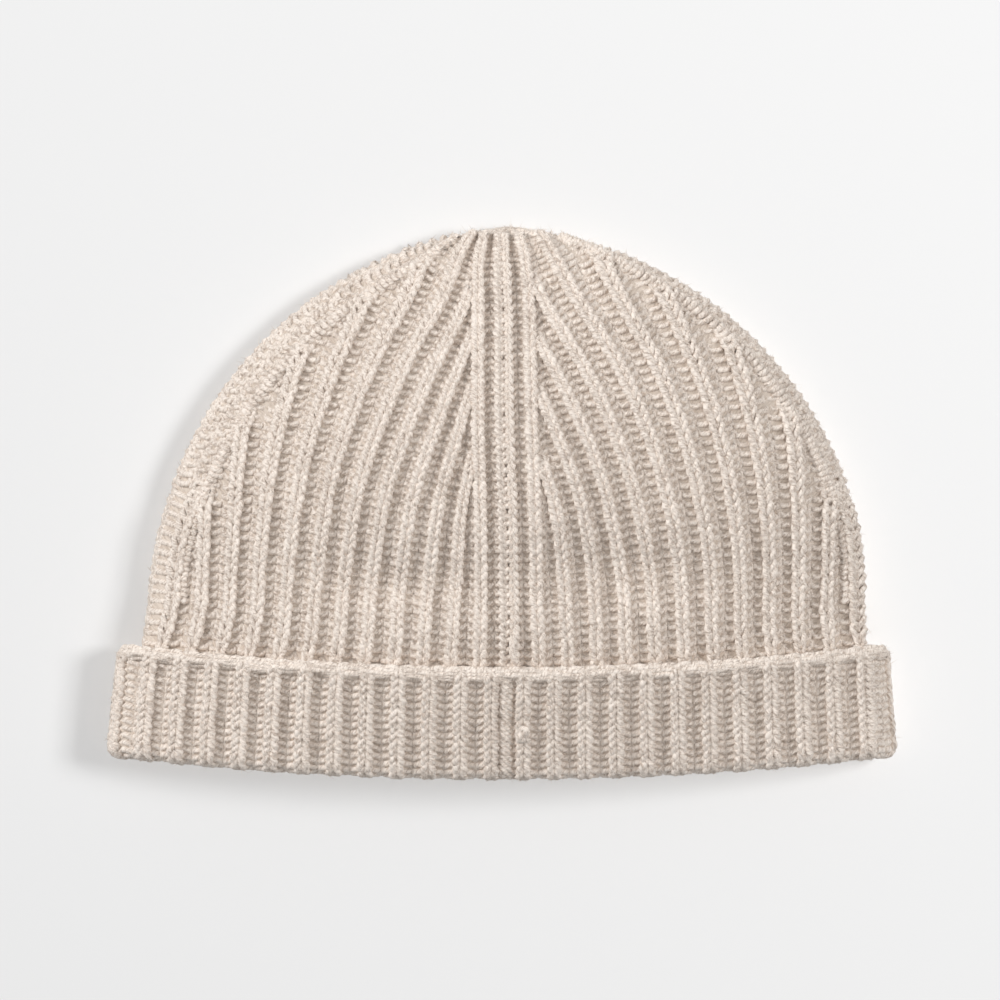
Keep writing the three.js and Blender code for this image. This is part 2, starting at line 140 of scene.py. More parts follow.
def wool_surface_group():
    group = bpy.data.node_groups.new("wool_strand", "ShaderNodeTree")
    face = group.interface
    face.new_socket("Light", in_out="INPUT", socket_type="NodeSocketColor")
    face.new_socket("Dark", in_out="INPUT", socket_type="NodeSocketColor")
    face.new_socket("Colour", in_out="OUTPUT", socket_type="NodeSocketColor")
    face.new_socket("Height", in_out="OUTPUT", socket_type="NodeSocketFloat")
    nodes, links = group.nodes, group.links
    into = nodes.new("NodeGroupInput")
    out = nodes.new("NodeGroupOutput")
    uv = nodes.new("ShaderNodeUVMap")
    uv.uv_map = "strand"
    split = nodes.new("ShaderNodeSeparateXYZ")
    links.new(uv.outputs["UV"], split.inputs[0])

    def math_node(kind, *values):
        node = nodes.new("ShaderNodeMath")
        node.operation = kind
        for socket, value in zip(node.inputs, values):
            if isinstance(value, float):
                socket.default_value = value
            else:
                links.new(value, socket)
        return node.outputs[0]

    # The two plies wind round each other, so a ply's phase grows with both U and V
    turns = math_node("MULTIPLY", split.outputs["X"], 1.0 / PLY_LENGTH)
    phase = math_node("ADD", turns, split.outputs["Y"])
    ply = math_node("ABSOLUTE", math_node("SINE", math_node("MULTIPLY", phase, 2.0 * math.pi)))

    # Fibres: noise drawn out along the plies
    around = math_node("MULTIPLY", phase, FIBRES_ROUND)
    along = math_node("MULTIPLY", split.outputs["X"], FIBRE_STRETCH)
    fibre_place = nodes.new("ShaderNodeCombineXYZ")
    links.new(around, fibre_place.inputs[0])
    links.new(along, fibre_place.inputs[1])
    fibres = nodes.new("ShaderNodeTexNoise")
    fibres.inputs["Scale"].default_value = FIBRE_SCALE
    fibres.inputs["Detail"].default_value = FIBRE_DETAIL
    fibres.inputs["Roughness"].default_value = FIBRE_HARSHNESS
    links.new(fibre_place.outputs[0], fibres.inputs["Vector"])

    # Heather: slow changes of tone from place to place
    coordinates = nodes.new("ShaderNodeTexCoord")
    heather = nodes.new("ShaderNodeTexNoise")
    heather.inputs["Scale"].default_value = HEATHER_SCALE
    heather.inputs["Detail"].default_value = HEATHER_DETAIL
    links.new(coordinates.outputs["Object"], heather.inputs["Vector"])

    # Tone: painted shade darkens the grooves between the plies; the fibre noise adds random light and dark
    # streaks, and the heather slow changes.
    fibre_tone = math_node("MULTIPLY", fibres.outputs["Fac"], FIBRE_TONE)
    tone = math_node("ADD", math_node("MULTIPLY", ply, PLY_GROOVE_SHADE), fibre_tone)
    tone = math_node("ADD", tone, math_node("MULTIPLY", heather.outputs["Fac"], HEATHER_TONE))
    tone = math_node("SUBTRACT", tone, TONE_DROP)
    mix = nodes.new("ShaderNodeMix")
    mix.data_type = "RGBA"
    links.new(tone, mix.inputs["Factor"])
    links.new(into.outputs["Dark"], mix.inputs["A"])
    links.new(into.outputs["Light"], mix.inputs["B"])
    links.new(mix.outputs["Result"], out.inputs["Colour"])
    fibre_height = math_node("MULTIPLY", fibres.outputs["Fac"], FIBRE_RELIEF)
    links.new(math_node("ADD", math_node("MULTIPLY", ply, PLY_RELIEF), fibre_height), out.inputs["Height"])
    return group


wool_strand = wool_surface_group()
WOOL_RELIEF_DEPTH = 0.0003
WOOL_ROUGHNESS, WOOL_SHINE = 0.95, 0.12
WOOL_SHEEN, WOOL_SHEEN_ROUGHNESS = 0.45, 0.45
WOOL_SHEEN_TINT = (1.0, 0.97, 0.92, 1.0)
KNIT_BUMP = 0.8


def wool_material(name, light, dark, bump):
    material = bpy.data.materials.new(name)
    material.use_nodes = True
    nodes, links = material.node_tree.nodes, material.node_tree.links
    shader = nodes["Principled BSDF"]
    strand = nodes.new("ShaderNodeGroup")
    strand.node_tree = wool_strand
    strand.inputs["Light"].default_value = light
    strand.inputs["Dark"].default_value = dark
    links.new(strand.outputs["Colour"], shader.inputs["Base Color"])
    relief = nodes.new("ShaderNodeBump")
    relief.inputs["Strength"].default_value = bump
    relief.inputs["Distance"].default_value = WOOL_RELIEF_DEPTH
    links.new(strand.outputs["Height"], relief.inputs["Height"])
    links.new(relief.outputs["Normal"], shader.inputs["Normal"])
    shader.inputs["Roughness"].default_value = WOOL_ROUGHNESS
    shader.inputs["Specular IOR Level"].default_value = WOOL_SHINE
    shader.inputs["Sheen Weight"].default_value = WOOL_SHEEN
    shader.inputs["Sheen Roughness"].default_value = WOOL_SHEEN_ROUGHNESS
    shader.inputs["Sheen Tint"].default_value = WOOL_SHEEN_TINT
    return material


wool_knit = wool_material("wool_knit", WOOL_LIGHT, WOOL_DARK, KNIT_BUMP)


# Crown: the body of the hat, knitted in 1 by 1 rib from the brim to the tip and narrowed there.
# A rib number says how far round a stitch lies, and a course number how many rows up. The wall's
# places are worked out in millimetres, as in the CAD part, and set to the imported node's size.
CROWN_WIDTH = 181.81
RIBS = 50
BRIM_Y = -66.9
DOME_START_Y = -23.75
DOME_HALF_WIDTH = 86.6
DOME_LENGTH = 89.0
DOME_POWER = 1.9
BRIM_FLARE = 4.1
BRIM_MIDDLE_X = -0.5
LEAN = 1.9
LEAN_START_Y, LEAN_END_Y = -55.0, 10.0
REST_HEIGHT = 1.0
LAYER_STEP = 3.9
CUFF_TOP_Y, SETTLED_Y = -35.0, -14.0
CROWN_FOLD_RADIUS, CUFF_FOLD_RADIUS = 3.0, 2.2
CROWN_LOFT, BRIM_LOFT = 20.4, 8.5
LOFT_PEAK_Y = -6.0
LOFT_POWER, BRIM_LOFT_POWER = 0.9, 1.5
SPINE_EDGE, GORE_EDGE, SIDE_STRIP = 1.25, 11.75, 1.5
LEFT_FOLD, RIGHT_FOLD = 13.0, 12.5

COURSE_COLUMNS = ("course", "height", "run", "spine", "seam", "strip", "centre", "side", "left", "right")
COURSES = [
    (-11.5, -60.6, 10.1, 9.3, 0.7, 4.9, 1.25, 11.75, 0.0, 0.0),
    (0.0, -37.1, 40.5, 8.75, 1.2, 12.0, 1.25, 11.75, 0.0, 0.0),
    (8.0, -20.4, 60.1, 8.1, 1.2, 12.2, 1.3, 11.5, 0.03, 0.03),
    (17.5, -0.2, 84.1, 7.9, 0.9, 12.2, 1.5, 10.5, 0.2, 0.22),
    (26.5, 18.9, 108.5, 8.0, 0.2, 11.5, 2.5, 9.5, 0.34, 0.27),
    (34.0, 33.4, 131.1, 7.8, 0.0, 10.4, 3.5, 8.5, 0.39, 0.32),
    (40.5, 46.0, 149.6, 7.6, -0.1, 8.3, 4.5, 7.5, 0.5, 0.42),
    (46.0, 57.0, 161.6, 7.0, -0.5, 4.6, 5.2, 6.8, 0.4, 0.4),
    (52.0, 63.6, 170.1, 5.2, -0.6, 0.0, 5.4, 6.6, 0.0, 0.0),
]
COURSE_TABLE = {name: np.array([row[i] for row in COURSES]) for i, name in enumerate(COURSE_COLUMNS)}

# x, y, depth, reach along, reach across, turn in degrees
DENTS = [
    (-11, -3, 2.2, 20, 9, 10),
    (25, -6, 2.0, 22, 10, -8),
    (-36, -14, 1.8, 20, 12, 5),
    (-36, 38, 1.6, 22, 9, 48),
    (47, 33, 1.4, 18, 9, -42),
    (-22, -20.5, 2.3, 8, 26, 0),
    (31, -17, 2.2, 9, 20, 8),
]
DENT_FADE = 8.0
DOME_POINTS, TUBE_POINTS = 301, 101
LEAST_SLOPE, LEAST_LENGTH, LEAST_HALF_WIDTH = 1e-6, 1e-9, 1.0
SLOPE_STEP = 0.4

crown_low, crown_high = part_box("crown")
MM = (crown_high.x - crown_low.x) / CROWN_WIDTH


def ease(start, end, value):
    t = np.clip((value - start) / (end - start), 0.0, 1.0)
    return t * t * (3.0 - 2.0 * t)


def at_course(column, course):
    rows, values = COURSE_TABLE["course"], COURSE_TABLE[column]
    high = np.clip(np.searchsorted(rows, course), 1, len(rows) - 1)
    low = high - 1
    before, after = np.maximum(low - 1, 0), np.minimum(high + 1, len(rows) - 1)
    span = rows[high] - rows[low]
    t = np.clip((course - rows[low]) / span, 0.0, 1.0)
    slope_in = span * (values[high] - values[before]) / (rows[high] - rows[before])
    slope_out = span * (values[after] - values[low]) / (rows[after] - rows[low])
    rise = values[high] - values[low]
    return (values[low] + t * slope_in + t ** 2 * (3 * rise - 2 * slope_in - slope_out)
            + t ** 3 * (slope_in + slope_out - 2 * rise))


def half_width(y):
    down = np.clip((DOME_START_Y - y) / (DOME_START_Y - BRIM_Y), 0.0, 1.0)
    up = np.clip((y - DOME_START_Y) / DOME_LENGTH, 0.0, 1.0)
    dome = DOME_HALF_WIDTH * np.maximum(1 - up ** DOME_POWER, 0.0) ** (1 / DOME_POWER)
    return np.where(y < DOME_START_Y, DOME_HALF_WIDTH + BRIM_FLARE * down, dome)


def middle_x(y):
    return BRIM_MIDDLE_X + LEAN * ease(LEAN_START_Y, LEAN_END_Y, y)


def outline_at(x, y):
    across = x - middle_x(y)
    sign = np.where(across < 0, -1.0, 1.0)
    u = np.abs(across) / DOME_HALF_WIDTH
    v = np.maximum((y - DOME_START_Y) / DOME_LENGTH, 0.0)
    level = 1 - u ** DOME_POWER - v ** DOME_POWER
    slope_x = DOME_POWER * u ** (DOME_POWER - 1) / DOME_HALF_WIDTH
    slope_y = DOME_POWER * v ** (DOME_POWER - 1) / DOME_LENGTH
    slope = np.hypot(slope_x, slope_y) + LEAST_SLOPE
    low = y < DOME_START_Y
    inside = np.where(low, half_width(y) - np.abs(across), level / slope)
    out_x = np.where(low, sign, sign * slope_x / slope)
    return out_x, np.where(low, 0.0, slope_y / slope), np.maximum(inside, 0.0)


quarter_turn = np.linspace(0.0, math.pi / 2, DOME_POINTS)
tube_y = np.linspace(BRIM_Y, DOME_START_Y, TUBE_POINTS)[:-1]
WALK_Y = np.concatenate([tube_y, DOME_START_Y + DOME_LENGTH * np.sin(quarter_turn) ** (2 / DOME_POWER)])
WALK_HALF = np.concatenate([
    half_width(tube_y),
    DOME_HALF_WIDTH * np.maximum(np.cos(quarter_turn), 0.0) ** (2 / DOME_POWER),
])
WALK_RUN = np.concatenate([[0.0], np.cumsum(np.hypot(np.diff(WALK_HALF), np.diff(WALK_Y)))])


def fold_radius(y):
    return CUFF_FOLD_RADIUS + (CROWN_FOLD_RADIUS - CUFF_FOLD_RADIUS) * ease(CUFF_TOP_Y, SETTLED_Y, y)


def plan_point(rib, course):
    turn = np.where(rib > RIBS / 2, rib - RIBS, rib)
    sign = np.where(turn >= 0, -1.0, 1.0)
    fold = np.where(sign < 0, LEFT_FOLD, RIGHT_FOLD)
    across = np.abs(turn)
    on_top = across <= fold
    own = np.where(on_top, across, RIBS / 2 - across)
    seam_x, spine_y = at_course("seam", course), at_course("height", course)
    spine, strip = at_course("spine", course), np.maximum(at_course("strip", course), 0.0)
    run = at_course("run", course)
    edge_y = np.interp(run, WALK_RUN, WALK_Y)
    edge_x = middle_x(edge_y) + sign * np.interp(run, WALK_RUN, WALK_HALF)
    out_x, out_y, _ = outline_at(edge_x, edge_y)
    radius = fold_radius(edge_y)
    fold_own = np.where(on_top, fold, RIBS / 2 - fold)
    arc = strip * np.maximum(fold_own - np.maximum(own, GORE_EDGE), 0.0) / SIDE_STRIP
    quarter = radius * math.pi / 2
    inset = np.where(arc < quarter, radius * (1 - np.cos(arc / radius)), radius + arc - quarter)
    side_x, side_y = edge_x - out_x * inset, edge_y - out_y * inset
    centre, side = at_course("centre", course), at_course("side", course)
    live = np.clip(own, centre, side)
    spread = (live - centre) / (side - centre)
    crowd = np.where(sign < 0, at_course("left", course), at_course("right", course))
    t = spread - crowd * spread * (1 - spread)
    spine_x = seam_x + sign * spine
    x = np.where(own > GORE_EDGE, side_x, spine_x + (side_x - spine_x) * t)
    y = np.where(own > GORE_EDGE, side_y, spine_y + (side_y - spine_y) * t)
    near = own < SPINE_EDGE
    x = np.where(near, seam_x + sign * spine * own / SPINE_EDGE, x)
    return x, np.where(near, spine_y, y), on_top


def loft_at(x, y):
    _, _, inside = outline_at(x, y)
    half = half_width(y)
    near_middle = np.clip(np.abs(x - middle_x(y)) / np.maximum(half, LEAST_SLOPE), 0.0, 1.0)
    u = np.where(half > LEAST_HALF_WIDTH, near_middle, 1.0)
    up = np.clip((y - LOFT_PEAK_Y) / (DOME_START_Y + DOME_LENGTH - LOFT_PEAK_Y), 0.0, 1.0)
    down = np.clip((LOFT_PEAK_Y - y) / (LOFT_PEAK_Y - BRIM_Y), 0.0, 1.0)
    centre = np.where(y > LOFT_PEAK_Y, CROWN_LOFT * (1 - up ** 2) ** LOFT_POWER,
                      CROWN_LOFT - (CROWN_LOFT - BRIM_LOFT) * down ** BRIM_LOFT_POWER)
    height = centre * np.maximum(1 - u * u, 0.0) ** LOFT_POWER
    for dent_x, dent_y, depth, long, wide, turn in DENTS:
        angle = math.radians(turn)
        along = (x - dent_x) * math.sin(angle) + (y - dent_y) * math.cos(angle)
        aside = (x - dent_x) * math.cos(angle) - (y - dent_y) * math.sin(angle)
        reach = (along / long) ** 2 + (aside / wide) ** 2
        height = height - depth * np.exp(-reach) * inside / (inside + DENT_FADE)
    return np.maximum(height, 0.0)


def wall_point(x, y, on_top):
    out_x, out_y, inside = outline_at(x, y)
    radius = fold_radius(y)
    fold_height = REST_HEIGHT + LAYER_STEP * (1 - ease(CUFF_TOP_Y, SETTLED_Y, y)) + radius
    cos = 1 - np.minimum(inside / radius, 1.0)
    sin = np.sqrt(1 - cos * cos)
    slope_x = (loft_at(x + SLOPE_STEP, y) - loft_at(x - SLOPE_STEP, y)) / (2 * SLOPE_STEP)
    slope_y = (loft_at(x, y + SLOPE_STEP) - loft_at(x, y - SLOPE_STEP)) / (2 * SLOPE_STEP)
    top = np.asarray(on_top, float)
    z = fold_height + np.where(on_top, 1.0, -1.0) * radius * sin + top * loft_at(x, y)
    normal = np.stack([
        out_x * cos - top * slope_x * sin,
        out_y * cos - top * slope_y * sin,
        np.where(on_top, sin, -sin),
    ], axis=-1)
    normal /= np.linalg.norm(normal, axis=-1, keepdims=True)
    return np.stack([x, y, z], axis=-1), normal


# The left side fold lies on a purl wale, which is pulled wide there and pushes the next rib under
LADDER_RIB, LADDER_REACH, LADDER_PUSH = 13.1, 0.45, 0.3
LADDER_FADE_START, LADDER_FADE_END = 40.0, 50.0


def crown_place(rib, course, height):
    push = LADDER_PUSH * (1 - ease(LADDER_FADE_START, LADDER_FADE_END, course))
    x, y, on_top = plan_point(rib + push * np.exp(-((rib - LADDER_RIB) / LADDER_REACH) ** 2), course)
    point, normal = wall_point(x, y, on_top)
    return point + normal * height[..., None]


# A stitch is one wave of yarn: up a leg, over the head and down the other leg. Knit wales stand
# proud with their legs in front, purl wales lie back with their heads in front.
LOOP_REACH = 0.98
LEG_SLANT = 0.265
LEG_CLOSE, SEAM_CLOSE = 0.06, -0.13
LEG_HEIGHT, LEG_SWING = 1.4, 0.55
NARROW_REACH, WIDEST_WALE = 0.6, 1.15
SWAY, LIFT, TIGHTNESS, PROUDNESS = 0.02, 0.07, 0.08, 0.06
STRIP_FLATNESS = 0.7
YARN_RADIUS = 0.77
STRAND_SIDES = 5
SHOWN_STEPS, UNDER_STEPS = 12, 5
WALE = 0.5
KNIT_REACH, SEAM_REACH = 0.24, 0.27
LEAST_KNIT, LEAST_PURL, SPENT_WALE = 0.2, 0.06, 0.48
LEAST_FLATNESS = 0.05
STRIP_WALE = 2.9
STRIP_PURL_FROM, STRIP_FADE = 13, 5.0


def wale_reach(middle):
    """Half the width of the wale with this middle: knit wales draw in, and purl wales spread."""
    return KNIT_REACH if round(middle / WALE) % 2 == 0 else WALE - KNIT_REACH


def row_wales(course, shown_side=True):
    """All wales round one row, in order of rib number from the seam on, as (from, to, side, shown,
    close, flat). side is 1 for a knit wale and -1 for a purl wale, close draws the legs together and
    flat lowers the stitch. A wale cut too narrow by the decreases gives its room to its neighbour."""
    centre, side = float(at_course("centre", course)), float(at_course("side", course))
    first, last = math.floor(centre / WALE), math.ceil(side / WALE)
    while first * WALE + wale_reach(first * WALE) - centre < (LEAST_PURL if first % 2 else LEAST_KNIT):
        first += 1
    while side - last * WALE + wale_reach(last * WALE) < (LEAST_PURL if last % 2 else LEAST_KNIT):
        last -= 1
    middles = [k * WALE for k in range(first, last + 1)]
    edges = [centre] + [middle + wale_reach(middle) for middle in middles[:-1]] + [side]
    gore = []
    for low, high, middle in zip(edges[:-1], edges[1:], middles):
        flat = min(max((high - low - LEAST_KNIT) / (SPENT_WALE - LEAST_KNIT), LEAST_FLATNESS), 1.0)
        gore.append((low, high, 1 if round(middle / WALE) % 2 == 0 else -1, LEG_CLOSE, flat))
    spine = [(-SPINE_EDGE, -1 + KNIT_REACH, 1, LEG_CLOSE, 1.0),
             (-1 + KNIT_REACH, -SEAM_REACH, -1, LEG_CLOSE, 1.0),
             (-SEAM_REACH, SEAM_REACH, 1, SEAM_CLOSE, 1.0),
             (SEAM_REACH, 1 - KNIT_REACH, -1, LEG_CLOSE, 1.0),
             (1 - KNIT_REACH, SPINE_EDGE, 1, LEG_CLOSE, 1.0)]

    if course > STRIP_PURL_FROM:
        count = max(1, round(float(at_course("strip", course)) / STRIP_WALE))
        cuts = np.linspace(GORE_EDGE, GORE_EDGE + SIDE_STRIP, count + 1)
        strip = [(low, high, -1, LEG_CLOSE, STRIP_FLATNESS) for low, high in zip(cuts[:-1], cuts[1:])]
    else:
        fade = min(max((STRIP_PURL_FROM + 1 - course) / STRIP_FADE, 0.0), 1.0)
        strip = [(GORE_EDGE, GORE_EDGE + WALE, 1, LEG_CLOSE, fade),
                 (GORE_EDGE + WALE, GORE_EDGE + SIDE_STRIP, -1, LEG_CLOSE, STRIP_FLATNESS)]

    def laid(wales, start, turn, shown):
        placed = [(start + turn * low, start + turn * high, *rest) for low, high, *rest in wales]
        if turn < 0:
            placed = [(high, low, *rest) for low, high, *rest in reversed(placed)]
        return [(low, high, sign, shown, close, flat) for low, high, sign, close, flat in placed]

    half = RIBS / 2
    below = [(low, high, sign, LEG_CLOSE, flat) for low, high, sign, _, flat in spine]
    return (laid(spine[2:] + gore + strip, 0, 1, shown_side)
            + laid(gore, half, -1, False) + laid(below + gore, half, 1, False)
            + laid(strip, RIBS, -1, shown_side) + laid(gore, RIBS, -1, shown_side)
            + laid(spine[:2], RIBS, 1, shown_side))


def mesh_piece(name, points, faces, strand_uv, smooth):
    """A mesh object from points in millimetres, faces that all have as many corners, and a UV per corner."""
    mesh = bpy.data.meshes.new(name)
    mesh.vertices.add(len(points))
    mesh.vertices.foreach_set("co", (points * MM).astype(np.float32).ravel())
    mesh.loops.add(faces.size)
    mesh.loops.foreach_set("vertex_index", faces.astype(np.int32).ravel())
    mesh.polygons.add(len(faces))
    mesh.polygons.foreach_set("loop_start", np.arange(0, faces.size, faces.shape[1], dtype=np.int32))
    mesh.polygons.foreach_set("use_smooth", np.full(len(faces), smooth))
    layer = mesh.uv_layers.new(name="strand")
    layer.data.foreach_set("uv", strand_uv.astype(np.float32).ravel())
    mesh.update()
    mesh.validate()
    piece = bpy.data.objects.new(name, mesh)
    bpy.context.collection.objects.link(piece)
    return piece


def strand_mesh(name, rows):
    """One mesh of closed rings of yarn, from the centre line, outward direction and radius of each."""
    points, faces, strand_uv = [], [], []
    count, sides = 0, STRAND_SIDES
    turn = np.arange(sides) * 2 * math.pi / sides
    for centre_line, outward, radius, _ in rows:
        n = len(centre_line)
        tangent = np.roll(centre_line, -1, axis=0) - np.roll(centre_line, 1, axis=0)
        tangent /= np.linalg.norm(tangent, axis=1, keepdims=True) + LEAST_LENGTH
        across = np.cross(tangent, outward)
        across /= np.linalg.norm(across, axis=1, keepdims=True) + LEAST_LENGTH
        up = np.cross(across, tangent)
        spokes = (np.cos(turn)[None, :, None] * up[:, None, :]
                  + np.sin(turn)[None, :, None] * across[:, None, :])
        ring = centre_line[:, None, :] + radius[:, None, None] * spokes
        ring[..., 2] = np.maximum(ring[..., 2], 0.0)
        points.append(ring.reshape(-1, 3))
        i, j = np.arange(n)[:, None], np.arange(sides)[None, :]
        a, b = count + i * sides + j, count + i * sides + (j + 1) % sides
        c, d = count + (i + 1) % n * sides + (j + 1) % sides, count + (i + 1) % n * sides + j
        faces.append(np.stack([a, d, c, b], axis=-1).reshape(-1, 4))
        steps = np.linalg.norm(np.roll(centre_line, -1, axis=0) - centre_line, axis=1)
        length = np.concatenate([[0.0], np.cumsum(steps)])
        u0, u1 = length[:-1][:, None] + 0 * j, length[1:][:, None] + 0 * j
        v0, v1 = j / sides + 0 * i, (j + 1) / sides + 0 * i
        corners = [np.stack(pair, -1) for pair in ((u0, v0), (u1, v0), (u1, v1), (u0, v1))]
        strand_uv.append(np.stack(corners, axis=2).reshape(-1, 2))
        count += n * sides
    return mesh_piece(name, np.vstack(points), np.vstack(faces), np.vstack(strand_uv), True)


chance = np.random.default_rng(50)
SLUB_LENGTH, SLUB = 9, 0.22
OUTWARD_STEP = 0.3


def yarn_row(place, rib, along, height, shown):
    """A ring of yarn through these places, with its outward directions, uneven radius and side shown."""
    line = place(rib, along, height)
    outward = place(rib, along, height + OUTWARD_STEP) - line
    outward /= np.linalg.norm(outward, axis=1, keepdims=True) + LEAST_LENGTH
    count = len(rib)
    slub = np.convolve(np.tile(chance.normal(0, 1, count), 3), np.ones(SLUB_LENGTH) / SLUB_LENGTH, "same")
    return line, outward, YARN_RADIUS * (1 + SLUB * slub[count:2 * count]), shown


def knit_row(place, wales, along, face, relief):
    """One knitted row. place turns a rib number, a distance along the wales in rows and a height over
    the wall into a point. face is 1 where the knitting's right side is out and -1 where it is in."""
    ribs, rises, heights, seen = [], [], [], []
    for low, high, side, shown, close, flat in wales:
        steps = SHOWN_STEPS if shown else UNDER_STEPS
        t = np.arange(steps) * 2 * math.pi / steps
        width = high - low
        full = min(width / WALE, WIDEST_WALE)
        sway, lift = chance.normal(0, SWAY), chance.normal(0, LIFT)
        tight, proud = chance.normal(0, TIGHTNESS), chance.normal(0, PROUDNESS)
        slant = LEG_SLANT * (1 + tight)
        wave = t / (2 * math.pi) + slant * np.sin(2 * t) + close * np.sin(t) + sway * np.sin(t / 2)
        ribs.append(low + width * wave)
        reach = LOOP_REACH * (NARROW_REACH + (1 - NARROW_REACH) * full)
        rises.append(along - reach * np.cos(t) + lift * np.sin(t / 2))
        rise_out = LEG_HEIGHT * full - LEG_SWING * np.cos(2 * t) + proud
        heights.append(side * face * flat * relief * np.sin(t / 2) * rise_out)
        seen.append(np.full(steps, shown))
    rib = np.mod(np.concatenate(ribs), RIBS)
    return yarn_row(place, rib, np.concatenate(rises), np.concatenate(heights), np.concatenate(seen))


COIL_STEPS = 8
COIL_WANDER, COIL_BACK_DROP = 0.12, 0.4


def coil_row(place, first, last, coils, half_width, low, high, slant, shift):
    """A ring of yarn that winds along a line from one row to the other and runs back below it. Its half
    width and its shift from the line are in ribs."""
    turn = np.arange(coils * COIL_STEPS) * 2 * math.pi / COIL_STEPS
    along = first + (last - first) * turn / turn[-1]
    rib = shift + half_width * (np.cos(turn) + chance.normal(0, COIL_WANDER, len(turn)))
    height = (high + low) / 2 + (high - low) / 2 * np.sin(turn)
    back = along[::-COIL_STEPS // 2]
    along = along + slant * np.cos(turn)
    rib = np.concatenate([rib, np.full(len(back), shift)])
    height = np.concatenate([height, np.full(len(back), low - COIL_BACK_DROP)])
    along = np.concatenate([along, back])
    return yarn_row(place, np.mod(rib, RIBS), along, height, np.ones(len(rib), bool))


SHEET_RIB_LENGTH, SHEET_ROW_TURNS = 7.0, 1.0
SHEET_LIFT = 0.02
SHEET_STEP = 0.25
sheet_ribs = np.arange(0, RIBS, SHEET_STEP)


def sheet_mesh(name, place, ribs, rises, thickness, ridge_at):
    """A closed backing sheet that follows the ribs between its two faces, to sit inside the stitches."""
    rib, rise = np.meshgrid(ribs, rises)
    ridge = ridge_at(rib, rise)
    faces_out = place(rib.ravel(), rise.ravel(), (ridge + thickness / 2).ravel())
    faces_in = place(rib.ravel(), rise.ravel(), (ridge - thickness / 2).ravel())
    points = np.vstack([faces_out, faces_in])
    points[:, 2] = np.maximum(points[:, 2], SHEET_LIFT)
    n, m = len(ribs), len(rises)
    i, j = np.meshgrid(np.arange(m - 1), np.arange(n), indexing="ij")
    a, b = i * n + j, i * n + (j + 1) % n
    c, d = b + n, a + n
    outer = np.stack([a, d, c, b], -1).reshape(-1, 4)
    inner = outer[:, ::-1] + n * m
    k = np.arange(n)
    foot = np.stack([k, (k + 1) % n, (k + 1) % n + n * m, k + n * m], -1)
    head = foot[:, ::-1] + n * (m - 1)
    faces = np.vstack([outer, inner, foot, head])
    across = np.abs(ribs - RIBS / 2)
    strand_u = np.tile(np.broadcast_to(across * SHEET_RIB_LENGTH, (m, n)).ravel(), 2)
    strand_v = np.tile(np.repeat(np.asarray(rises) * SHEET_ROW_TURNS, n), 2)
    strand_uv = np.stack([strand_u, strand_v], -1)[faces.ravel()]
    return mesh_piece(name, points, faces, strand_uv, True)


UNDER_SHARE = 0.12
FIBRE_FAN, FIBRE_STRAY = 0.95, 0.28
FIBRE_LEAST_RISE, FIBRE_MOST_RISE = 0.05, 0.5
FIBRE_EVENNESS, FIBRE_ROOT = 5.0, 0.93
KINK_AT, KINK_TAPER = 0.5, 0.8
FIBRE_LIFT = 0.01


def fibre_mesh(name, rows, total, length, thickness, lie, bend):
    """Loose wool fibres rooted in the strands of these rows, as fine spikes. lie is how far each one
    follows its strand, and bend kinks it once on its way. U of its UV map holds its shade."""
    line = np.vstack([row[0] for row in rows])
    outward = np.vstack([row[1] for row in rows])
    radius = np.concatenate([row[2] for row in rows])
    onward = np.vstack([np.roll(row[0], -1, axis=0) - row[0] for row in rows])
    weight = np.where(np.concatenate([row[3] for row in rows]), 1.0, UNDER_SHARE)
    pick = chance.choice(len(line), total, p=weight / weight.sum())
    out, radius = outward[pick], radius[pick][:, None]
    along = onward[pick] / (np.linalg.norm(onward[pick], axis=1, keepdims=True) + LEAST_LENGTH)
    across = np.cross(along, out)
    across /= np.linalg.norm(across, axis=1, keepdims=True) + LEAST_LENGTH
    turn = chance.normal(0, FIBRE_FAN, (total, 1))
    side = np.cos(turn) * out + np.sin(turn) * across
    way = chance.choice([-1.0, 1.0], (total, 1))
    rise = chance.uniform(FIBRE_LEAST_RISE, FIBRE_MOST_RISE, (total, 1))
    aim = side * rise + along * way * lie + chance.normal(0, FIBRE_STRAY, (total, 3))
    aim /= np.linalg.norm(aim, axis=1, keepdims=True)
    reach = chance.gamma(FIBRE_EVENNESS, length / FIBRE_EVENNESS, (total, 1))
    base = line[pick] + onward[pick] * chance.uniform(0, 1, (total, 1)) + side * radius * FIBRE_ROOT
    u = np.cross(aim, chance.normal(0, 1, (total, 3)))
    u /= np.linalg.norm(u, axis=1, keepdims=True)
    v = np.cross(aim, u)
    thirds = (0.0, 2 * math.pi / 3, 4 * math.pi / 3)
    ring = [thickness * (math.cos(angle) * u + math.sin(angle) * v) for angle in thirds]
    if bend:
        middle = base + aim * reach * KINK_AT
        turned = aim + chance.normal(0, bend, (total, 3))
        turned /= np.linalg.norm(turned, axis=1, keepdims=True)
        tip = middle + turned * reach * (1 - KINK_AT)
        corners = [base + part for part in ring] + [middle + part * KINK_TAPER for part in ring] + [tip]
        spike = [(0, 2, 1), (0, 1, 4), (0, 4, 3), (1, 2, 5), (1, 5, 4), (2, 0, 3), (2, 3, 5), (3, 4, 6),
                 (4, 5, 6), (5, 3, 6)]
    else:
        corners = [base + part for part in ring] + [base + aim * reach]
        spike = [(0, 2, 1), (0, 1, 3), (1, 2, 3), (2, 0, 3)]
    points = np.stack(corners, axis=1).reshape(-1, 3)
    points[:, 2] = np.maximum(points[:, 2], FIBRE_LIFT)
    start = (np.arange(total) * len(corners))[:, None, None]
    faces = (start + np.array(spike)[None]).reshape(-1, 3)
    shade = np.repeat(chance.uniform(0, 1, total), len(spike) * 3)
    return mesh_piece(name, points, faces, np.stack([shade, 0 * shade], -1), False)
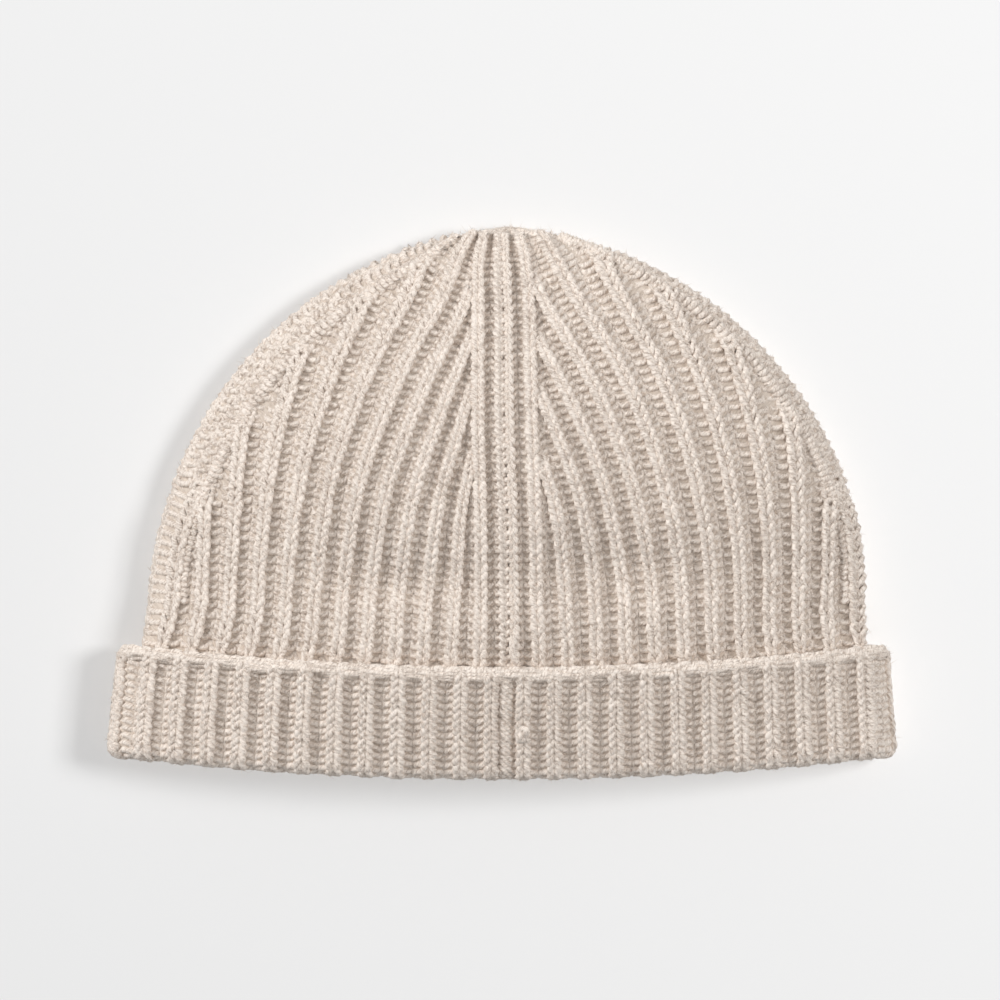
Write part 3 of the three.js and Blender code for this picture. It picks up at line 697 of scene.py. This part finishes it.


# The backing sheets are coloured darker than the yarn: painted shade for the gaps between the strands.
CORE_PAINTED_SHADE_LIGHT, CORE_PAINTED_SHADE_DARK = (0.70, 0.61, 0.53, 1.0), (0.50, 0.41, 0.34, 1.0)
CORE_BUMP = 0.5
FLUFF = {"length": 1.5, "thickness": 0.03, "lie": 0.8, "bend": 0.7}
NAP = {"length": 1.35, "thickness": 0.062, "lie": 1.2, "bend": 0}
CROWN_FLUFF, CROWN_NAP = 3000, 41000
LAST_COVERED = -3
FIBRE_LIGHT = (0.96, 0.89, 0.82, 1.0)
FIBRE_DARK = (0.42, 0.34, 0.28, 1.0)
FIBRE_ROUGHNESS, FIBRE_SHINE = 0.85, 0.2

wool_core_painted_shade = wool_material("wool_core_painted_shade", CORE_PAINTED_SHADE_LIGHT, CORE_PAINTED_SHADE_DARK, CORE_BUMP)
wool_fibre = bpy.data.materials.new("wool_fibre")
wool_fibre.use_nodes = True
fibre_nodes, fibre_links = wool_fibre.node_tree.nodes, wool_fibre.node_tree.links
fibre_shader = fibre_nodes["Principled BSDF"]
fibre_shader.inputs["Roughness"].default_value = FIBRE_ROUGHNESS
fibre_shader.inputs["Specular IOR Level"].default_value = FIBRE_SHINE
fibre_uv = fibre_nodes.new("ShaderNodeUVMap")
fibre_uv.uv_map = "strand"
fibre_shade = fibre_nodes.new("ShaderNodeSeparateXYZ")
fibre_mix = fibre_nodes.new("ShaderNodeMix")
fibre_mix.data_type = "RGBA"
fibre_mix.inputs["A"].default_value = FIBRE_DARK
fibre_mix.inputs["B"].default_value = FIBRE_LIGHT
fibre_links.new(fibre_uv.outputs["UV"], fibre_shade.inputs[0])
fibre_links.new(fibre_shade.outputs["X"], fibre_mix.inputs["Factor"])
fibre_links.new(fibre_mix.outputs["Result"], fibre_shader.inputs["Base Color"])


def hat_piece(piece, material, node):
    piece.data.materials.append(material)
    hat_only.objects.link(piece)
    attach(piece, "root")
    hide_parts(node)


# piece, first course, last course
CROWN_PIECES = [
    ("crown_rows_under_cuff", -11, -4),
    ("crown_rows_low", -3, 7),
    ("crown_rows_middle", 8, 18),
    ("crown_rows_high", 19, 30),
    ("crown_rows_tip", 31, 52),
]
crown_rows = []
for name, first, last in CROWN_PIECES:
    rows = [knit_row(crown_place, row_wales(course, course > LAST_COVERED), course, face=1.0, relief=1.0)
            for course in range(first, last + 1)]
    crown_rows += rows
    hat_piece(strand_mesh(name, rows), wool_knit, "crown")

# Tip: a strand drawn through the last stitches pulls them together and closes the top
TIP_COURSE = 52.0
TIP_ROWS, TIP_SPAN = 5, 5.0
TIP_BULGE = 1.3
TIP_CLOSED, TIP_TURNED = 0.98, 0.4
TIP_AIM = np.array([0.0, 1.0, 0.0])
GATHER_RELIEF = 0.3
tip_centre = crown_place(sheet_ribs, np.full(len(sheet_ribs), TIP_COURSE), np.zeros(len(sheet_ribs)))
tip_centre = (tip_centre.min(axis=0) + tip_centre.max(axis=0)) / 2


def tip_place(rib, row, height):
    """row counts from the last course in towards the middle of the gathered tip."""
    share = np.clip(row / TIP_SPAN, 0.0, TIP_CLOSED)[:, None]
    course = np.full(len(rib), TIP_COURSE)
    edge = crown_place(rib, course, np.zeros(len(rib)))
    turned = ease(0.0, TIP_TURNED, share)
    out = (crown_place(rib, course, np.ones(len(rib))) - edge) * (1 - turned) + TIP_AIM * turned
    rise = TIP_AIM * TIP_BULGE * np.sin(share * math.pi / 2)
    return edge + (tip_centre - edge) * share + rise + out * height[:, None]


gather_rows = [knit_row(tip_place, row_wales(TIP_COURSE), float(row), face=1.0, relief=GATHER_RELIEF)
               for row in range(TIP_ROWS)]
crown_rows += gather_rows
hat_piece(strand_mesh("crown_tip_gather", gather_rows), wool_knit, "crown")


def tip_or_crown_place(rib, course, height):
    """Courses past the last one run on over the gathered tip."""
    up = crown_place(rib, np.minimum(course, TIP_COURSE), height)
    return np.where((course > TIP_COURSE)[:, None], tip_place(rib, course - TIP_COURSE, height), up)


# Decreases: along the side lines stitches are knitted together in twos, and their yarn lies double
# in a low raised line between the ends of the ribs and the plain strip at the fold
DECREASE = {"first": 1.0, "last": 50.0, "half_width": 0.13, "low": -0.4, "high": 0.8, "slant": 0.2,
            "shift": 0.0}
# rib at the start of the count, way round, coils
DECREASE_LINES = [(0, 1, 84), (RIBS, -1, 84), (RIBS / 2, -1, 30), (RIBS / 2, 1, 30)]


def decrease_place(start, way):
    """Rib 0 is the line where the ribs end, counted from the rib at start round one way or the other."""
    def place(rib, course, height):
        aside = np.where(rib > RIBS / 2, rib - RIBS, rib)
        own = aside + np.where(aside < 0, at_course("side", course), GORE_EDGE)
        return crown_place(np.mod(start + way * own, RIBS), course, height)
    return place


decrease_rows = [coil_row(decrease_place(start, way), coils=coils, **DECREASE)
                 for start, way, coils in DECREASE_LINES]
crown_rows += decrease_rows
hat_piece(strand_mesh("crown_decreases", decrease_rows), wool_knit, "crown")

# Inner wool: a thin sheet inside the stitches, so no gap between two strands is see-through. It is coloured
# darker than the yarn as painted shade for the deep gaps between the strands.
CORE_RIDGE, CORE_STRIP, CORE_TIP_REACH = 0.75, -0.3, 0.5
CORE_JOIN, CORE_JOIN_REACH = 0.0, 0.25
CORE_SEAM_REACH, CORE_STRIP_LEAD = 0.1, 2
CORE_DROP, CORE_TIP_DROP = 0.1, 0.4
CORE_FLAT_FROM, CORE_FLAT = 50.0, 53.0
CORE_THICKNESS = 0.4
CORE_FIRST, CORE_LAST, CORE_STEPS = -11.4, 51.8, 29
CORE_TIP_SHARES = np.array([0.2, 0.5, 0.98])


def crown_ridge(rib, course):
    across = np.minimum(rib, RIBS - rib)
    own = np.minimum(across, RIBS / 2 - across)
    live = np.clip(own, at_course("centre", course), at_course("side", course))
    gore = (own > SPINE_EDGE) & (own < GORE_EDGE)
    ladder = (across > GORE_EDGE + WALE) & (across < GORE_EDGE + SIDE_STRIP)
    strip = ladder | (own >= GORE_EDGE) & (course > STRIP_PURL_FROM - CORE_STRIP_LEAD)
    ridge = CORE_RIDGE * np.cos(2 * math.pi * np.where(gore, live, rib))
    spare = at_course("side", course) - own
    ridge = np.where(gore & (spare < CORE_TIP_REACH), CORE_STRIP, ridge)
    ridge = np.where(gore & (spare < CORE_JOIN_REACH), CORE_JOIN, ridge)
    ridge = np.where(strip, CORE_STRIP, np.where(own < CORE_SEAM_REACH, -CORE_RIDGE, ridge)) - CORE_DROP
    return ridge * (1 - ease(CORE_FLAT_FROM, CORE_FLAT, course)) - CORE_TIP_DROP * (course > TIP_COURSE)


core_courses = np.concatenate([np.linspace(CORE_FIRST, CORE_LAST, CORE_STEPS),
                               TIP_COURSE + TIP_SPAN * CORE_TIP_SHARES])
crown_core = sheet_mesh("crown_inner_wool_painted_shade", tip_or_crown_place, sheet_ribs, core_courses, CORE_THICKNESS,
                        crown_ridge)
hat_piece(crown_core, wool_core_painted_shade, "crown")
crown_fluff = fibre_mesh("crown_fluff", crown_rows, CROWN_FLUFF, **FLUFF)
hat_piece(crown_fluff, wool_fibre, "crown")
crown_nap = fibre_mesh("crown_nap", crown_rows, CROWN_NAP, **NAP)
hat_piece(crown_nap, wool_fibre, "crown")


# Cuff: the same ribbing turned up over the crown's foot, so its rows run down from the free edge.
# The side that shows is the other face of the knitting, with its ribs over the crown's valleys.
CUFF_HEIGHT = 26.7
CUFF_BOW = 4.2
CUFF_LEG_FOOT = 3.45
CUFF_ROW_HEIGHT = 1.757
BRIM_COURSE = -11.5
CUFF_ROWS = 20
FIRST_ROW = 0.5
FOLD_FLATTENING = 0.8


def band_point(rib, rise):
    x, y, on_top = plan_point(rib, np.full_like(rib, BRIM_COURSE))
    u = np.clip((x - middle_x(y)) / half_width(y), -1.0, 1.0)
    y = BRIM_Y + CUFF_BOW * u * u + rise
    return middle_x(y) + u * half_width(y), y, on_top


def cuff_place(rib, row, height):
    """row counts knitted rows down from the free edge, round the brim's fold and up inside."""
    down = row * CUFF_ROW_HEIGHT
    straight = CUFF_HEIGHT - CUFF_LEG_FOOT
    half = LAYER_STEP / 2
    angle = np.clip((down - straight) / half, 0.0, math.pi)
    inside = np.maximum(down - straight - half * math.pi, 0.0)
    out, low = np.cos(angle), np.sin(angle)
    height = height * (1 - FOLD_FLATTENING * low)
    rise = CUFF_HEIGHT - np.minimum(down, straight) - half * low + inside
    step = half + half * out
    x, y, on_top = band_point(rib, rise - low * height)
    point, normal = wall_point(x, y, on_top)
    return point + normal * (step + out * height)[..., None]


CUFF_RELIEF = 0.95
CUFF_SHOWN_ROWS = 16
EDGE_POINTS = 300
EDGE_WANDER = 0.45
EDGE_SMOOTHING = np.array([0.04, 0.09, 0.13, 0.09, 0.04])
# row, height
EDGE_STRANDS = [(-0.05, 0.5), (0.28, 0.95), (0.6, 0.85), (0.9, 0.3), (1.2, -0.5), (-0.1, -0.5), (0.05, -1.5),
                (0.0, -2.4), (0.0, -3.2), (0.0, -4.0)]
CUFF_FLUFF, CUFF_NAP = 2500, 24000
CUFF_TURN_ROW, CUFF_FIBRE_ROWS, EDGE_FIBRES = 12, 14, 4
CUFF_CORE_FIRST, CUFF_CORE_PAST, CUFF_CORE_STEPS = 0.1, 0.4, 26
CUFF_CORE_FLAT, CUFF_CORE_FULL = -0.5, 2.5
cuff_rows = []
for row in range(CUFF_ROWS):
    wales = [(*wale[:4], LEG_CLOSE, wale[5]) for wale in row_wales(BRIM_COURSE, row < CUFF_SHOWN_ROWS)]
    cuff_rows.append(knit_row(cuff_place, wales, row + FIRST_ROW, face=-1.0, relief=CUFF_RELIEF))
hat_piece(strand_mesh("cuff_rows_shown", cuff_rows[:CUFF_TURN_ROW]), wool_knit, "cuff")
hat_piece(strand_mesh("cuff_rows_fold", cuff_rows[CUFF_TURN_ROW:]), wool_knit, "cuff")

# Cast-on edge: strands laid side by side over the free edge and down behind it, each wandering a little
edge_rib = np.linspace(0, RIBS, EDGE_POINTS, endpoint=False)
edge_rows = []
for row, height in EDGE_STRANDS:
    stray = np.tile(chance.normal(0, 1, (2, EDGE_POINTS)), 3)
    wander, swell = [np.convolve(part, EDGE_SMOOTHING, "same")[EDGE_POINTS:2 * EDGE_POINTS]
                     for part in stray]
    edge_rows.append(yarn_row(cuff_place, edge_rib, row + EDGE_WANDER * wander, height + swell, edge_rib > 0))
hat_piece(strand_mesh("cuff_edge", edge_rows), wool_knit, "cuff")


def cuff_ridge(rib, row):
    return -CORE_RIDGE * CUFF_RELIEF * np.cos(2 * math.pi * rib) * ease(CUFF_CORE_FLAT, CUFF_CORE_FULL, row)


# The cuff's sheet takes the same darker colour, painted shade in the gaps between its strands.
cuff_core_rows = np.linspace(CUFF_CORE_FIRST, CUFF_ROWS + CUFF_CORE_PAST, CUFF_CORE_STEPS)
cuff_core = sheet_mesh("cuff_inner_wool_painted_shade", cuff_place, sheet_ribs, cuff_core_rows, CORE_THICKNESS,
                       cuff_ridge)
hat_piece(cuff_core, wool_core_painted_shade, "cuff")
shown_cuff = cuff_rows[:CUFF_FIBRE_ROWS] + EDGE_FIBRES * edge_rows
cuff_fluff = fibre_mesh("cuff_fluff", shown_cuff, CUFF_FLUFF, **FLUFF)
hat_piece(cuff_fluff, wool_fibre, "cuff")
cuff_nap = fibre_mesh("cuff_nap", shown_cuff, CUFF_NAP, **NAP)
hat_piece(cuff_nap, wool_fibre, "cuff")


# Back seam: the crown's two edges are sewn together along the centre back. Its thread lies deep
# between the half stitches of rib 0, as small slanted bars, and its end hangs out above the cuff.
THREAD = {"first": -2.0, "last": 50.0, "coils": 44, "half_width": 0.07, "low": -0.95, "high": 0.3,
          "slant": 0.3, "shift": 0.0}
ALLOWANCE = {"first": -10.0, "last": 45.0, "coils": 62, "half_width": 0.16, "low": -3.1, "high": -2.2,
             "slant": 0.3, "shift": 0.0}
TAIL_POINTS = 26
TAIL_RIB, TAIL_DRIFT, TAIL_CURL = -0.19, 0.05, 0.06
TAIL_COURSE, TAIL_REACH = 1.2, 1.7
TAIL_HEIGHT, TAIL_LIFT = 1.9, 0.35

back_thread = coil_row(crown_place, **THREAD)
tail_turn = np.arange(TAIL_POINTS) * 2 * math.pi / TAIL_POINTS
tail_rib = TAIL_RIB - TAIL_DRIFT * np.sin(tail_turn) - TAIL_CURL * np.cos(2 * tail_turn)
tail = yarn_row(crown_place, np.mod(tail_rib, RIBS), TAIL_COURSE + TAIL_REACH * np.cos(tail_turn),
                TAIL_HEIGHT + TAIL_LIFT * np.sin(2 * tail_turn), np.ones(TAIL_POINTS, bool))
allowance = coil_row(crown_place, **ALLOWANCE)
seam_rows = [back_thread, tail, allowance]
hat_piece(strand_mesh("back_seam_thread", seam_rows), wool_knit, "back_seam")


# Cuff seam: on the turned-up cuff the seam's wrong side shows, as a narrow raised welt of yarn down
# the middle of the band, with a small knot where the thread was tied off.
WELT = {"first": 0.2, "last": 14.5, "coils": 19, "half_width": 0.2, "low": -0.7, "high": 0.8,
        "slant": -0.75, "shift": 0.05}
WELT_CORD = {"first": 0.2, "last": 14.5, "coils": 9, "half_width": 0.09, "low": -0.6, "high": 0.6,
             "slant": 0.5, "shift": 0.12}
KNOT_POINTS = 24
KNOT_RIB, KNOT_WIDTH, KNOT_TWIST = -0.5, 0.12, 0.05
KNOT_ROW, KNOT_REACH = 8.1, 0.75
KNOT_HEIGHT, KNOT_LIFT = 1.6, 0.5
SEAM_NAP = 1600

welt = coil_row(cuff_place, **WELT)
welt_cord = coil_row(cuff_place, **WELT_CORD)
knot_turn = np.arange(KNOT_POINTS) * 2 * math.pi / KNOT_POINTS
knot_rib = KNOT_RIB + KNOT_WIDTH * np.sin(knot_turn) + KNOT_TWIST * np.sin(3 * knot_turn)
knot = yarn_row(cuff_place, np.mod(knot_rib, RIBS), KNOT_ROW + KNOT_REACH * np.cos(knot_turn),
                KNOT_HEIGHT + KNOT_LIFT * np.sin(2 * knot_turn), np.ones(KNOT_POINTS, bool))
cuff_seam_rows = [welt, welt_cord, knot]
hat_piece(strand_mesh("cuff_seam_welt", cuff_seam_rows), wool_knit, "cuff_seam")
seam_nap = fibre_mesh("seam_nap", seam_rows + cuff_seam_rows, SEAM_NAP, **NAP)
hat_piece(seam_nap, wool_fibre, "cuff_seam")
